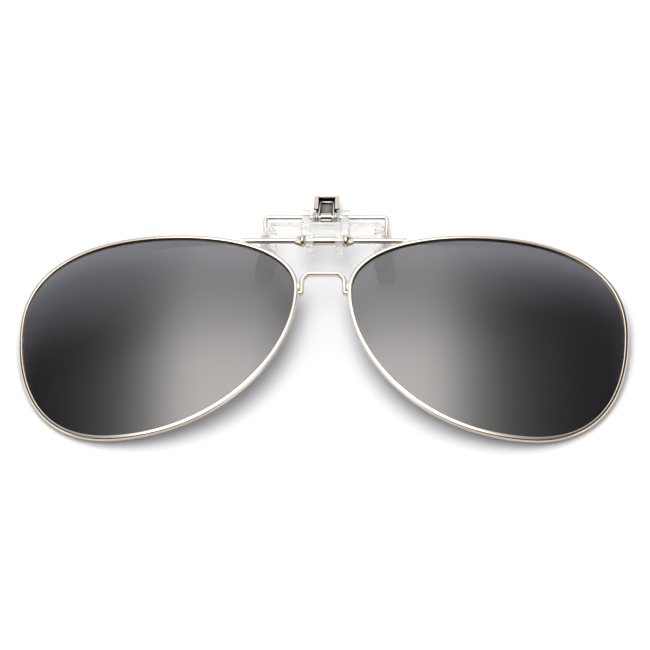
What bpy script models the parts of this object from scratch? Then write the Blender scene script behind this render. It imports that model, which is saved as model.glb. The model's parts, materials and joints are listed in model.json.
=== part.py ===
"""Flip-up clip-on sunglasses: two tinted lenses in wire rims on a hinge rod, carried by a clear spring clip.

Every length below is in millimetres and becomes metres through MM. The clip frame used for modelling has its
origin on the hinge rod's axis: +X to the right, +Y from the lenses up to the brow, +Z out of the front of the
lenses. The whole clip frame then lies on its back on a table, raised by TABLE_TILT at the brow, with the
floor at z = 0 and the glasses centred over the origin.
"""

import math

import bmesh
import bpy
from mathutils import Matrix, Vector

MM = 0.001
MERGE = 1e-6

# Lens opening of the right-hand rim: its four extreme points and the handle lengths of the four arcs between
OPENING_TOP = Vector((36.0, 0.3))
OPENING_INNER = Vector((6.6, -13.3))
OPENING_BOTTOM = Vector((45.8, -49.1))
OPENING_OUTER = Vector((67.7, -21.6))
HANDLES_TOP_INNER = (16.0, 10.0)
HANDLES_INNER_BOTTOM = (16.5, 24.0)
HANDLES_BOTTOM_OUTER = (15.2, 16.4)
HANDLES_OUTER_TOP = (16.6, 18.2)
ARC_STEPS = 14

LENS_RADIUS = 130.0
LENS_WRAP = math.radians(5.0)
LENS_THICKNESS = 0.75
LENS_RINGS = 4
FIT_GAP = 0.05

RIM_WIDTH = 1.0
RIM_DEPTH = 1.64
RIM_WAIST = 0.08
RIM_SHOULDER = (0.3, 0.15, 0.14, 0.4)
RIM_LIP = (0.12, 0.1)
GROOVE_DEPTH = 0.55

# Hinge rod, its solder beads, and what is threaded on it between and outside the clip's front ears
ROD_RADIUS = 0.64
ROD_HALF_LENGTH = 18.75
ROD_SEGMENTS = 24
SOLDER_X = 18.2
ROD_BEAD_SIZE = (1.35, 0.42, 0.72)
ROD_BEAD_TURN = math.radians(14.0)
ROD_BEAD_Y = -0.42
EAR_INNER_X = 2.45
EAR_WIDTH = 1.74
EAR_RADIUS = 1.45
BORE_GAP = 0.08
TUBE_RADIUS = 1.05
COLLAR_RADIUS = 1.46
COLLAR_TIP_RADIUS = 0.82
COLLAR_LENGTH = 2.4
COLLAR_LAND = (0.75, 0.95)
COLLAR_CHAMFER = (0.35, 0.3, 0.06)

# Bridge wire: its top corners, its legs beside the rims and its ends turned out to them
BRIDGE_RADIUS = 0.55
BRIDGE_DEPTH = 1.64
BRIDGE_TOP_Y = -8.9
BRIDGE_TOP_RISE = 0.17
BRIDGE_SHOULDER_X = 4.7
BRIDGE_LEG_X = 4.9
BRIDGE_END_Y = -13.8
BRIDGE_END_REACH = (0.6, -0.1)
BRIDGE_Z = 0.1
BRIDGE_BENDS = (2.1, 0.45)
BRIDGE_BEAD_SIZE = (0.42, 1.25, 0.42)
BRIDGE_BEAD_OFFSET = (0.7, 1.7, 0.62)

# Clip base: the centre beam, the wings, the front feet and the legs under the front ears
BEAM_HALF_WIDTH = 5.4
BEAM_DROP = 2.6
BEAM_STEP = 0.5
BEAM_FORWARD = 0.6
WING_HALF_SPAN = 13.5
WING_LOW_Y = 4.45
WING_HIGH_Y = 6.7
WING_FRONT_Z = -3.0
WING_BACK_Z = -5.6
WING_CORNERS = (0.3, 0.3, 1.2, 1.2)
FOOT_WIDTH = 2.3
FOOT_LOW_Y = -3.9
FOOT_FRONT_Z = -4.9
FOOT_BACK_Z = -6.75
FOOT_CORNERS = (0.9, 0.9, 0.8, 0.8)
EAR_ROOT = (3.4, -3.6)
EAR_CORNERS = (1.4, 0.3, 0.3, 1.3)
LEG_LOW_Y = -2.3
LEG_HIGH_Y = 0.5
LEG_DEPTH = (-2.6, -1.0)
LEG_STEP = 0.06
EDGE_ROUND = 0.22

# Grip wire, the rear ears that hold it, and the paddles on its arms
GRIP_AXIS = Vector((0.0, 10.4, -7.2))
GRIP_RADIUS = 0.55
GRIP_HALF_WIDTH = 14.1
GRIP_BENDS = (0.85, 1.6, 1.6)
REAR_EAR_INNER_X = 3.6
REAR_EAR_WIDTH = 1.8
REAR_EAR_RADIUS = 1.45
REAR_EAR_ROOT = ((-2.2, -4.6), (-1.6, -2.7), (2.25, -2.9))
REAR_EAR_CORNERS = (0.2, 0.3, 0.8, 1.35, 1.35, 1.1)
SEAT_GAP = 0.07
MOUTH_HALF_WIDTH = 0.45
MOUTH_DEPTH = 3.0
ARM_Z = -7.9
ARM_LOW_Y = -3.8
PADDLE_THICKNESS = 2.0
PADDLE_LOW_Y = -6.6
PADDLE_NECK_Y = 5.7
PADDLE_CORNERS = (0.5, 0.5, 1.5, 1.0, 1.3, 1.4, 0.8, 0.8)

# Squeeze tab: a stamped tray with turned-out lips, a neck, and a curl closed round the grip wire
TAB_LEAN = math.radians(18.0)
TAB_LENGTH = 6.8
TAB_HEAD_LOW = 2.3
TAB_HALF_WIDTH = 2.95
TAB_POCKET_HALF_WIDTH = 1.9
TAB_SHEET = 0.5
TAB_FLANGE = 1.8
TAB_NECK_HALF_WIDTH = 1.8
TAB_NECK_LOW = 0.3
TAB_SEAM = (-2.0, -0.1, 0.36)
BARREL_HALF_LENGTH = 1.3
BARREL_RADIUS = 1.05
WELD_RADIUS = 0.28
WELD_INSET = 0.15

# Torsion spring: a leg on the beam, a coil each side of the curl, and a loop inside the tab
SPRING_WIRE_RADIUS = 0.2
SPRING_COIL_RADIUS = 0.97
SPRING_OUTER_X = 2.95
SPRING_INNER_X = 1.75
SPRING_LEG = ((0.0, -4.3), (0.25, -5.3))
SPRING_LOOP = ((1.6, 2.1, 0.5), (1.6, 5.2, -0.3), (1.15, 5.65, -0.3), (0.0, 5.65, -0.3))
SPRING_TURNS = 3
SPRING_TURN_STEPS = 12

TABLE_TILT = math.radians(6.4)
AXIS_HEIGHT = 9.585
CENTRE_Y = 15.88


def start_scene():
    """Empty the scene and make the collections and the two empties that the pieces hang on."""
    for old in list(bpy.data.objects):
        bpy.data.objects.remove(old, do_unlink=True)
    parts = bpy.data.collections.new("clip_on_sunglasses")
    cutters = bpy.data.collections.new("cutters")
    bpy.context.scene.collection.children.link(parts)
    bpy.context.scene.collection.children.link(cutters)
    flip_axis = bpy.data.objects.new("flip_axis", None)
    flip_axis.rotation_euler.x = TABLE_TILT
    flip_axis.location = (0.0, CENTRE_Y * MM, AXIS_HEIGHT * MM)
    grip_axis = bpy.data.objects.new("grip_axis", None)
    grip_axis.parent = flip_axis
    grip_axis.location = GRIP_AXIS * MM
    parts.objects.link(flip_axis)
    parts.objects.link(grip_axis)
    return parts, cutters, flip_axis, grip_axis


PARTS, CUTTERS, FLIP_AXIS, GRIP_EMPTY = start_scene()


def make_material(name, color, roughness, metallic=0.0, alpha=1.0):
    """A Principled BSDF in one colour."""
    made = bpy.data.materials.new(name)
    made.use_nodes = True
    shader = made.node_tree.nodes["Principled BSDF"]
    shader.inputs["Base Color"].default_value = (*color, 1.0)
    shader.inputs["Roughness"].default_value = roughness
    shader.inputs["Metallic"].default_value = metallic
    shader.inputs["Alpha"].default_value = alpha
    return made


RIM_METAL = make_material("rim_metal", (0.86, 0.82, 0.76), 0.22, metallic=1.0)
CHROME = make_material("chrome", (0.80, 0.79, 0.77), 0.12, metallic=1.0)
SOLDER = make_material("solder", (0.84, 0.80, 0.73), 0.35, metallic=1.0)
SPRING_STEEL = make_material("spring_steel", (0.55, 0.54, 0.52), 0.25, metallic=1.0)
TINT = make_material("tinted_lens", (0.07, 0.07, 0.08), 0.05, alpha=0.85)
CLEAR = make_material("clear_plastic", (0.93, 0.94, 0.94), 0.10, alpha=0.30)
SOFT_CLEAR = make_material("soft_clear_plastic", (0.90, 0.90, 0.90), 0.35, alpha=0.45)


def place(obj, material, parent=FLIP_AXIS):
    """Put a piece that was built in the clip frame under its axis empty, with its material."""
    obj.data.materials.clear()
    obj.data.materials.append(material)
    for holder in list(obj.users_collection):
        holder.objects.unlink(obj)
    PARTS.objects.link(obj)
    hang(obj, parent)
    return obj


def hang(obj, parent):
    """Parent an object that was built in the clip frame, leaving it where it is."""
    obj.parent = parent
    if parent is GRIP_EMPTY:
        obj.location -= GRIP_AXIS * MM


def as_cutter(obj, parent=FLIP_AXIS):
    """Set an object aside as a Boolean operand."""
    for holder in list(obj.users_collection):
        holder.objects.unlink(obj)
    CUTTERS.objects.link(obj)
    obj.hide_render = True
    obj.display_type = "WIRE"
    hang(obj, parent)
    return obj


def combine(obj, other, operation="UNION"):
    """Join a cutter to a piece, or take it away, with a Boolean modifier."""
    modifier = obj.modifiers.new(other.name, "BOOLEAN")
    modifier.operation = operation
    modifier.solver = "EXACT"
    modifier.object = other
    return obj


def new_object(name, data):
    """Link a new object straight to the scene, in the clip frame."""
    obj = bpy.data.objects.new(name, data)
    bpy.context.scene.collection.objects.link(obj)
    return obj


def smooth(obj):
    """Shade round surfaces smooth and leave the real edges sharp."""
    obj.data.shade_smooth()
    obj.data.set_sharp_from_angle(angle=math.radians(40.0))
    return obj


def to_mesh(obj):
    """Turn a curve object into a mesh object of the same name, with its loose caps welded."""
    bpy.context.view_layer.update()
    evaluated = obj.evaluated_get(bpy.context.evaluated_depsgraph_get())
    data = bpy.data.meshes.new_from_object(evaluated)
    work = bmesh.new()
    work.from_mesh(data)
    bmesh.ops.remove_doubles(work, verts=work.verts, dist=MERGE)
    bmesh.ops.recalc_face_normals(work, faces=work.faces)
    work.to_mesh(data)
    work.free()
    name = obj.name
    matrix = obj.matrix_world.copy()
    bpy.data.objects.remove(obj)
    made = new_object(name, data)
    made.matrix_world = matrix
    return smooth(made)


def mirrored(obj, name):
    """A left-hand copy of a right-hand mesh object: the same piece mirrored across x = 0."""
    bpy.context.view_layer.update()
    evaluated = obj.evaluated_get(bpy.context.evaluated_depsgraph_get())
    data = bpy.data.meshes.new_from_object(evaluated)
    data.transform(Matrix.Scale(-1.0, 4, (1.0, 0.0, 0.0)) @ obj.matrix_basis)
    data.flip_normals()
    made = bpy.data.objects.new(name, data)
    PARTS.objects.link(made)
    made.parent = obj.parent
    return made


def fillet(points, radii, steps=4, closed=False):
    """Round each corner of a path of Vectors with an arc-like bend of its own radius."""
    count = len(points)
    rounded = []
    for i, corner in enumerate(points):
        radius = radii[i] if not isinstance(radii, (int, float)) else radii
        at_end = not closed and i in (0, count - 1)
        if at_end or radius == 0:
            rounded.append(corner.copy())
            continue
        back = (points[i - 1] - corner).normalized()
        ahead = (points[(i + 1) % count] - corner).normalized()
        half_angle = back.angle(ahead) / 2.0
        reach = radius / math.tan(half_angle)
        middle = (back + ahead).normalized() * (radius / math.sin(half_angle)) + corner
        first = (corner + back * reach - middle).normalized()
        last = (corner + ahead * reach - middle).normalized()
        for step in range(steps + 1):
            rounded.append(middle + first.slerp(last, step / steps) * radius)
    return rounded


def flat_plate(name, corners, radii, thickness, steps=4):
    """A flat plate of rounded outline in the XY plane, its thickness centred on z = 0."""
    outline = fillet([Vector((x, y, 0.0)) for x, y in corners], radii, steps, closed=True)
    curve = bpy.data.curves.new(name, "CURVE")
    curve.dimensions = "2D"
    curve.fill_mode = "BOTH"
    curve.extrude = thickness / 2.0 * MM
    spline = curve.splines.new("POLY")
    spline.points.add(len(outline) - 1)
    for point, spot in zip(spline.points, outline):
        point.co = (*(spot * MM), 1.0)
    spline.use_cyclic_u = True
    return to_mesh(new_object(name, curve))


def side_plate(name, corners, radii, low_x, high_x, steps=4):
    """A flat plate of rounded outline in the YZ plane, standing between two x values."""
    plate = flat_plate(name, corners, radii, high_x - low_x, steps)
    turn = Matrix(((0, 0, 1, 0), (1, 0, 0, 0), (0, 1, 0, 0), (0, 0, 0, 1)))
    plate.data.transform(Matrix.Translation(((low_x + high_x) / 2.0 * MM, 0.0, 0.0)) @ turn)
    return plate


def box(name, low, high):
    """A block between two corners."""
    low = Vector(low) * MM
    high = Vector(high) * MM
    bpy.ops.mesh.primitive_cube_add(size=1.0, location=(low + high) / 2.0)
    made = bpy.context.object
    made.name = name
    made.data.transform(Matrix.Diagonal((*(high - low), 1.0)))
    return made


def round_edges(obj):
    """Take the sharp edges off a block or plate."""
    bevel = obj.modifiers.new("edges", "BEVEL")
    bevel.width = EDGE_ROUND * MM
    bevel.segments = 2
    bevel.limit_method = "ANGLE"


def cylinder_x(name, radius, low_x, high_x, y=0.0, z=0.0, segments=ROD_SEGMENTS):
    """A cylinder along X."""
    spot = Vector(((low_x + high_x) / 2.0, y, z)) * MM
    bpy.ops.mesh.primitive_cylinder_add(
        vertices=segments, radius=radius * MM, depth=(high_x - low_x) * MM, location=spot
    )
    made = bpy.context.object
    made.name = name
    made.data.transform(Matrix.Rotation(math.pi / 2.0, 4, "Y"))
    return smooth(made)


def turned_x(name, profile, segments=ROD_SEGMENTS):
    """A ring turned about X from a closed loop of (radius, x) points, outer side first, x falling."""
    mesh = bpy.data.meshes.new(name)
    points = [(radius * MM, 0.0, x * MM) for radius, x in profile]
    edges = [(i, (i + 1) % len(points)) for i in range(len(points))]
    mesh.from_pydata(points, edges, [])
    made = new_object(name, mesh)
    made.rotation_euler.y = math.pi / 2.0
    screw = made.modifiers.new("turn", "SCREW")
    screw.steps = segments
    screw.render_steps = segments
    screw.use_merge_vertices = True
    screw.merge_threshold = MERGE
    return made


def wire(name, path, radius, resolution=2):
    """A round wire along a path of Vectors."""
    curve = bpy.data.curves.new(name, "CURVE")
    curve.dimensions = "3D"
    curve.bevel_depth = radius * MM
    curve.bevel_resolution = resolution
    curve.use_fill_caps = True
    spline = curve.splines.new("POLY")
    spline.points.add(len(path) - 1)
    for point, spot in zip(spline.points, path):
        point.co = (*(spot * MM), 1.0)
    spline.use_smooth = True
    return new_object(name, curve)


def bezier_arc(start, start_handle, end_handle, end):
    """Points and unit outward normals along one arc of the lens opening, which runs anticlockwise."""
    found = []
    for step in range(ARC_STEPS):
        t = step / ARC_STEPS
        u = 1.0 - t
        spot = u**3 * start + 3 * u * u * t * start_handle + 3 * u * t * t * end_handle + t**3 * end
        along = u * u * (start_handle - start) + 2 * u * t * (end_handle - start_handle)
        along += t * t * (end - end_handle)
        found.append((spot, Vector((along.y, -along.x)).normalized()))
    return found


def opening_edge():
    """The right-hand lens opening as a closed ring of 2D points with their outward normals."""
    right = Vector((1.0, 0.0))
    up = Vector((0.0, 1.0))
    arcs = (
        (OPENING_TOP, -right, OPENING_INNER, up, HANDLES_TOP_INNER),
        (OPENING_INNER, -up, OPENING_BOTTOM, -right, HANDLES_INNER_BOTTOM),
        (OPENING_BOTTOM, right, OPENING_OUTER, -up, HANDLES_BOTTOM_OUTER),
        (OPENING_OUTER, up, OPENING_TOP, right, HANDLES_OUTER_TOP),
    )
    ring = []
    for start, out, end, back, (first, last) in arcs:
        ring += bezier_arc(start, start + out * first, end + back * last, end)
    return ring


def lens_centre():
    """The middle of the lens opening's box."""
    return Vector(((OPENING_INNER.x + OPENING_OUTER.x) / 2.0, (OPENING_TOP.y + OPENING_BOTTOM.y) / 2.0))


def lens_drop(spot):
    """How far the curved, wrapped lens surface lies behind its own crown."""
    return (spot - lens_centre()).length_squared / (2.0 * LENS_RADIUS) + math.tan(LENS_WRAP) * spot.x


def lens_slope(spot, normal):
    """The angle at which the lens surface falls away outward at its edge."""
    fall = (spot - lens_centre()).dot(normal) / LENS_RADIUS + math.tan(LENS_WRAP) * normal.x
    return math.atan(fall)


def on_lens(spot):
    """A 2D point lifted on to the lens surface, which meets the rod's axis plane at the rod's ends."""
    seat = Vector((SOLDER_X, -RIM_WIDTH))
    return Vector((spot.x, spot.y, lens_drop(seat) - lens_drop(spot)))


def rim_section(gap=0.0):
    """The rim wire's section as (outward, depth) points: half-round outside, grooved inside for the lens."""
    half = RIM_DEPTH / 2.0 + gap
    groove = LENS_THICKNESS / 2.0 + FIT_GAP
    out = RIM_WIDTH + gap
    side, inset, fall, top = RIM_SHOULDER
    lip_width, lip_fall = RIM_LIP
    upper = [(out, side), (out - inset, half - fall), (out - top, half)]
    upper += [(lip_width, half), (-gap, half - lip_fall)]
    lip = [(-gap, groove), (GROOVE_DEPTH, groove)] if gap == 0.0 else []
    lower = [(x, -y) for x, y in reversed(upper + lip)]
    return [(out - RIM_WAIST, 0.0)] + upper + lip + lower


def sweep_rim(name, gap=0.0):
    """The rim: its section swept round the lens opening on the lens surface."""
    profile = bpy.data.curves.new(name + "_section", "CURVE")
    profile.dimensions = "2D"
    section = rim_section(gap)
    spline = profile.splines.new("POLY")
    spline.points.add(len(section) - 1)
    for point, (out, depth) in zip(spline.points, section):
        point.co = (out * MM, depth * MM, 0.0, 1.0)
    spline.use_cyclic_u = True
    guide = as_cutter(new_object(name + "_section", profile))
    path = opening_edge()
    curve = bpy.data.curves.new(name, "CURVE")
    curve.dimensions = "3D"
    curve.twist_mode = "Z_UP"
    curve.bevel_mode = "OBJECT"
    curve.bevel_object = guide
    spline = curve.splines.new("POLY")
    spline.points.add(len(path) - 1)
    for point, (spot, normal) in zip(spline.points, path):
        point.co = (*(on_lens(spot) * MM), 1.0)
        point.tilt = lens_slope(spot, normal)
    spline.use_cyclic_u = True
    return to_mesh(new_object(name, curve))


def make_rims():
    """The right rim and its mirror image."""
    rim = place(sweep_rim("rim_right"), RIM_METAL)
    mirrored(rim, "rim_left")


def make_lenses():
    """Each lens: rings of the opening's outline drawn in to its centre, curved and thickened."""
    edge = [spot + normal * (GROOVE_DEPTH - FIT_GAP) for spot, normal in opening_edge()]
    centre = lens_centre()
    work = bmesh.new()
    middle = work.verts.new(on_lens(centre) * MM)
    rings = []
    for ring in range(1, LENS_RINGS + 1):
        share = ring / LENS_RINGS
        rings.append([work.verts.new(on_lens(centre.lerp(spot, share)) * MM) for spot in edge])
    count = len(edge)
    for i in range(count):
        after = (i + 1) % count
        work.faces.new((middle, rings[0][i], rings[0][after]))
        for inner, outer in zip(rings, rings[1:]):
            work.faces.new((inner[i], outer[i], outer[after], inner[after]))
    mesh = bpy.data.meshes.new("lens_right")
    work.to_mesh(mesh)
    work.free()
    lens = new_object("lens_right", mesh)
    shell = lens.modifiers.new("thickness", "SOLIDIFY")
    shell.thickness = LENS_THICKNESS * MM
    shell.offset = 0.0
    smooth(lens)
    place(lens, TINT)
    mirrored(lens, "lens_left")


def bridge_path():
    """The bridge wire's centre line, from its left end to its right end."""
    out, down = BRIDGE_END_REACH
    half = [
        Vector((BRIDGE_SHOULDER_X, BRIDGE_TOP_Y, BRIDGE_Z + BRIDGE_TOP_RISE)),
        Vector((BRIDGE_LEG_X, BRIDGE_END_Y, BRIDGE_Z)),
        Vector((BRIDGE_LEG_X + out, BRIDGE_END_Y + down, BRIDGE_Z)),
    ]
    left = [Vector((-spot.x, spot.y, spot.z)) for spot in reversed(half)]
    top, end = BRIDGE_BENDS
    return fillet(left + half, [0.0, end, top, top, end, 0.0], steps=5)


def bridge_bar(name, gap=0.0):
    """The bridge wire as a mesh, drawn as deep as the rims are, and grown by a gap for a cutter."""
    bar = to_mesh(wire(name, bridge_path(), BRIDGE_RADIUS + gap))
    middle = Matrix.Translation((0.0, 0.0, BRIDGE_Z * MM))
    deepen = Matrix.Diagonal((1.0, 1.0, BRIDGE_DEPTH / (2.0 * BRIDGE_RADIUS), 1.0))
    bar.data.transform(middle @ deepen @ middle.inverted())
    return bar


def oval_bead(name, size, spot, segments, turn=0.0):
    """A bead with three half-widths, turned in the plane of the lenses."""
    bpy.ops.mesh.primitive_uv_sphere_add(segments=segments, ring_count=8, radius=MM)
    bead = bpy.context.object
    bead.name = name
    bead.data.transform(Matrix.Rotation(turn, 4, "Z") @ Matrix.Diagonal((*size, 1.0)))
    bead.location = Vector(spot) * MM
    return smooth(bead)


def make_bridge():
    """The inverted-U bridge wire and the brazing bead that fills the crotch between each leg and its rim."""
    place(bridge_bar("bridge_wire"), RIM_METAL)
    across, up, forward = BRIDGE_BEAD_OFFSET
    spot = (BRIDGE_LEG_X + across, BRIDGE_END_Y + up, BRIDGE_Z + forward)
    bead = oval_bead("bridge_solder_right", BRIDGE_BEAD_SIZE, spot, segments=12)
    place(bead, SOLDER)
    combine(bead, RIM_CLEARANCE, "DIFFERENCE")
    combine(bead, as_cutter(bridge_bar("bridge_clearance", FIT_GAP)), "DIFFERENCE")
    mirrored(bead, "bridge_solder_left")


def make_rod():
    """The straight hinge rod, soldered on the rims' top edges, with a bead round each end."""
    rod = cylinder_x("hinge_rod", ROD_RADIUS, -ROD_HALF_LENGTH, ROD_HALF_LENGTH)
    place(rod, CHROME)
    reach = ROD_HALF_LENGTH + FIT_GAP
    spot = (reach, ROD_BEAD_Y, FIT_GAP)
    bead = oval_bead("rod_solder_right", ROD_BEAD_SIZE, spot, segments=16, turn=ROD_BEAD_TURN)
    place(bead, SOLDER)
    combine(bead, RIM_CLEARANCE, "DIFFERENCE")
    seat = as_cutter(cylinder_x("rod_clearance", ROD_RADIUS + FIT_GAP, -reach, reach))
    combine(bead, seat, "DIFFERENCE")
    mirrored(bead, "rod_solder_left")


def make_tube_and_collars():
    """The spacer tube between the ears, and a tapered collar outside each ear."""
    bore = ROD_RADIUS + FIT_GAP
    reach = EAR_INNER_X - FIT_GAP
    tube_loop = [(TUBE_RADIUS, reach), (TUBE_RADIUS, -reach), (bore, -reach), (bore, reach)]
    place(turned_x("spacer_tube", tube_loop), CHROME)
    face = EAR_INNER_X + EAR_WIDTH + FIT_GAP
    land_start, land_end = COLLAR_LAND
    chamfer, shoulder, shoulder_step = COLLAR_CHAMFER
    collar = turned_x("cone_collar_right", [
        (COLLAR_TIP_RADIUS, face + COLLAR_LENGTH),
        (COLLAR_RADIUS - 0.02, face + land_end),
        (COLLAR_RADIUS, face + land_start),
        (COLLAR_RADIUS - shoulder_step, face + shoulder),
        (COLLAR_RADIUS - chamfer, face),
        (bore, face),
        (bore, face + COLLAR_LENGTH),
    ])
    place(collar, CHROME)
    mirrored(collar, "cone_collar_left")


def flat_block(name, low, high, depth, corners):
    """A plate in the XY plane between two corners and two z values, its corners rounded."""
    outline = [low, (high[0], low[1]), high, (low[0], high[1])]
    plate = flat_plate(name, outline, corners, depth[1] - depth[0])
    plate.location.z = (depth[0] + depth[1]) / 2.0 * MM
    return plate


def side_span(side, inner, width):
    """The lower and higher x of a band that starts so far from the middle, on one side of it."""
    return sorted((side * inner, side * (inner + width)))


def add_foot(base, side, word):
    """One front foot, which hangs from the wing's end."""
    low, high = side_span(side, WING_HALF_SPAN - FOOT_WIDTH, FOOT_WIDTH)
    top = WING_HIGH_Y - EDGE_ROUND
    depth = (FOOT_BACK_Z, FOOT_FRONT_Z)
    combine(base, as_cutter(flat_block("foot_" + word, (low, FOOT_LOW_Y), (high, top), depth, FOOT_CORNERS)))


def add_front_ear(base, side, word):
    """One ear round the hinge rod, with the short leg under it."""
    low, high = side_span(side, EAR_INNER_X, EAR_WIDTH)
    root_y, root_z = EAR_ROOT
    outline = [(-EAR_RADIUS, EAR_RADIUS), (-EAR_RADIUS, root_z), (root_y, root_z), (EAR_RADIUS, EAR_RADIUS)]
    combine(base, as_cutter(side_plate("front_ear_" + word, outline, EAR_CORNERS, low, high)))
    leg_back, leg_front = LEG_DEPTH
    corners = (low + LEG_STEP, LEG_LOW_Y, leg_back), (high - LEG_STEP, LEG_HIGH_Y, leg_front)
    combine(base, as_cutter(box("leg_" + word, *corners)))


def add_rear_ear(base, side, word):
    """One ear behind the beam, which holds the grip wire."""
    low, high = side_span(side, REAR_EAR_INNER_X, REAR_EAR_WIDTH)
    y, z, r = GRIP_AXIS.y, GRIP_AXIS.z, REAR_EAR_RADIUS
    outline = [(WING_LOW_Y + up, depth) for up, depth in REAR_EAR_ROOT]
    outline += [(y + r, z + r), (y + r, z - r), (y - r, z - r)]
    combine(base, as_cutter(side_plate("rear_ear_" + word, outline, REAR_EAR_CORNERS, low, high)))


def make_clip_base():
    """The clear bracket: centre beam, wings, front feet, rod ears with short legs, and rear wire ears."""
    low = (-BEAM_HALF_WIDTH, WING_LOW_Y - BEAM_DROP, WING_BACK_Z + BEAM_FORWARD)
    high = (BEAM_HALF_WIDTH, WING_HIGH_Y - BEAM_STEP, WING_FRONT_Z + BEAM_FORWARD)
    base = box("clip_base", low, high)
    round_edges(base)
    place(base, CLEAR)
    span = WING_HALF_SPAN
    depth = (WING_BACK_Z, WING_FRONT_Z)
    wings = flat_block("wings", (-span, WING_LOW_Y), (span, WING_HIGH_Y), depth, WING_CORNERS)
    combine(base, as_cutter(wings))
    for side, word in ((1, "right"), (-1, "left")):
        add_foot(base, side, word)
        add_front_ear(base, side, word)
        add_rear_ear(base, side, word)

    past_ears = BEAM_HALF_WIDTH + 1.0
    bore = cylinder_x("rod_bore", ROD_RADIUS + BORE_GAP, -past_ears, past_ears)
    combine(base, as_cutter(bore), "DIFFERENCE")
    y, z = GRIP_AXIS.y, GRIP_AXIS.z
    seat = cylinder_x("wire_seat", GRIP_RADIUS + SEAT_GAP, -past_ears, past_ears, y, z)
    combine(base, as_cutter(seat), "DIFFERENCE")
    low = (-past_ears, y - MOUTH_HALF_WIDTH, z - MOUTH_DEPTH)
    mouth = box("wire_mouth", low, (past_ears, y + MOUTH_HALF_WIDTH, z))
    combine(base, as_cutter(mouth), "DIFFERENCE")


def arm_points(side):
    """Corners of one arm of the grip wire, from the straight run down to the arm's tip."""
    return [
        Vector((side * GRIP_HALF_WIDTH, GRIP_AXIS.y, GRIP_AXIS.z)),
        Vector((side * (GRIP_HALF_WIDTH - 0.05), GRIP_AXIS.y - 2.0, GRIP_AXIS.z - 0.2)),
        Vector((side * (GRIP_HALF_WIDTH - 0.15), GRIP_AXIS.y - 3.4, ARM_Z)),
        Vector((side * (GRIP_HALF_WIDTH + 0.05), ARM_LOW_Y, ARM_Z)),
    ]


def make_grip_wire():
    """The U-shaped spring wire that turns in the rear ears."""
    corners = list(reversed(arm_points(-1))) + arm_points(1)
    bends = [*GRIP_BENDS, 0.0]
    grip = to_mesh(wire("grip_wire", fillet(corners, list(reversed(bends)) + bends, steps=5), GRIP_RADIUS))
    place(grip, CHROME, GRIP_EMPTY)


def make_paddles():
    """The clear soft paddles: a narrow neck over the wire that widens to a rounded pad."""
    outline = [
        (12.95, PADDLE_NECK_Y),
        (14.9, PADDLE_NECK_Y),
        (15.0, 1.8),
        (16.05, -4.6),
        (15.95, PADDLE_LOW_Y),
        (12.2, PADDLE_LOW_Y),
        (11.4, 0.8),
        (12.95, 2.6),
    ]
    paddle = flat_plate("paddle_right", outline, PADDLE_CORNERS, PADDLE_THICKNESS)
    round_edges(paddle)
    paddle.location.z = ARM_Z * MM
    place(paddle, SOFT_CLEAR, GRIP_EMPTY)
    arm = arm_points(1)
    tip = arm[3] + (arm[3] - arm[2]).normalized() * FIT_GAP * 2.0
    path = fillet(arm[1:3] + [tip], GRIP_BENDS[-1], steps=5)
    channel = to_mesh(wire("paddle_channel", path, GRIP_RADIUS + FIT_GAP))
    combine(paddle, as_cutter(channel, GRIP_EMPTY), "DIFFERENCE")
    mirrored(paddle, "paddle_left")


def tab_blocks():
    """The tab's head, the pocket in its front, the cuts behind its two lips, its neck and the curl's seam."""
    back = -BARREL_RADIUS
    front = back + TAB_FLANGE
    past = 1.0
    pocket = TAB_POCKET_HALF_WIDTH
    wall = pocket + TAB_SHEET
    head = box("squeeze_tab", (-TAB_HALF_WIDTH, TAB_HEAD_LOW, back), (TAB_HALF_WIDTH, TAB_LENGTH, front))
    round_edges(head)
    inside = box("tab_inside", (-pocket, TAB_HEAD_LOW - past, back + TAB_SHEET),
                 (pocket, TAB_LENGTH - TAB_SHEET, front + past))
    behind = []
    for side in (1, -1):
        low, high = side_span(side, wall, TAB_HALF_WIDTH)
        cut_low = (low, TAB_HEAD_LOW - past, back - past)
        behind.append(box("tab_behind_lip", cut_low, (high, TAB_LENGTH + past, front - TAB_SHEET)))
    neck_half = TAB_NECK_HALF_WIDTH
    neck_high = (neck_half, TAB_HEAD_LOW + past, back + TAB_SHEET)
    neck = box("tab_neck", (-neck_half, TAB_NECK_LOW, back), neck_high)
    seam_low, seam_high, seam_half = TAB_SEAM
    seam_reach = BARREL_HALF_LENGTH + past
    seam = box("tab_seam", (-seam_reach, seam_low, -seam_half), (seam_reach, seam_high, seam_half))
    return head, inside, behind, neck, seam


def make_tab():
    """The stamped tab: a tray-shaped head, a neck, and a curl closed round the grip wire by a weld bead."""
    head, inside, behind, neck, seam = tab_blocks()
    barrel = BARREL_HALF_LENGTH
    curl = cylinder_x("tab_curl", BARREL_RADIUS, -barrel, barrel)
    bore = cylinder_x("tab_bore", GRIP_RADIUS + FIT_GAP, -barrel - 1.0, barrel + 1.0)
    weld_end = barrel - WELD_INSET
    weld_y = -GRIP_RADIUS - WELD_RADIUS - FIT_GAP
    weld = cylinder_x("tab_weld", WELD_RADIUS, -weld_end, weld_end, weld_y, segments=12)
    for piece in (head, inside, *behind, neck, curl, bore, seam, weld):
        piece.matrix_world = Matrix.Rotation(-TAB_LEAN, 4, "X") @ Matrix.Translation(piece.location)
        piece.location += GRIP_AXIS * MM
    place(head, CHROME, GRIP_EMPTY)
    for cutter in (inside, *behind):
        combine(head, as_cutter(cutter, GRIP_EMPTY), "DIFFERENCE")
    for added in (neck, curl):
        combine(head, as_cutter(added, GRIP_EMPTY))
    for cutter in (bore, seam):
        combine(head, as_cutter(cutter, GRIP_EMPTY), "DIFFERENCE")
    place(weld, SOLDER, GRIP_EMPTY)


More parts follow.
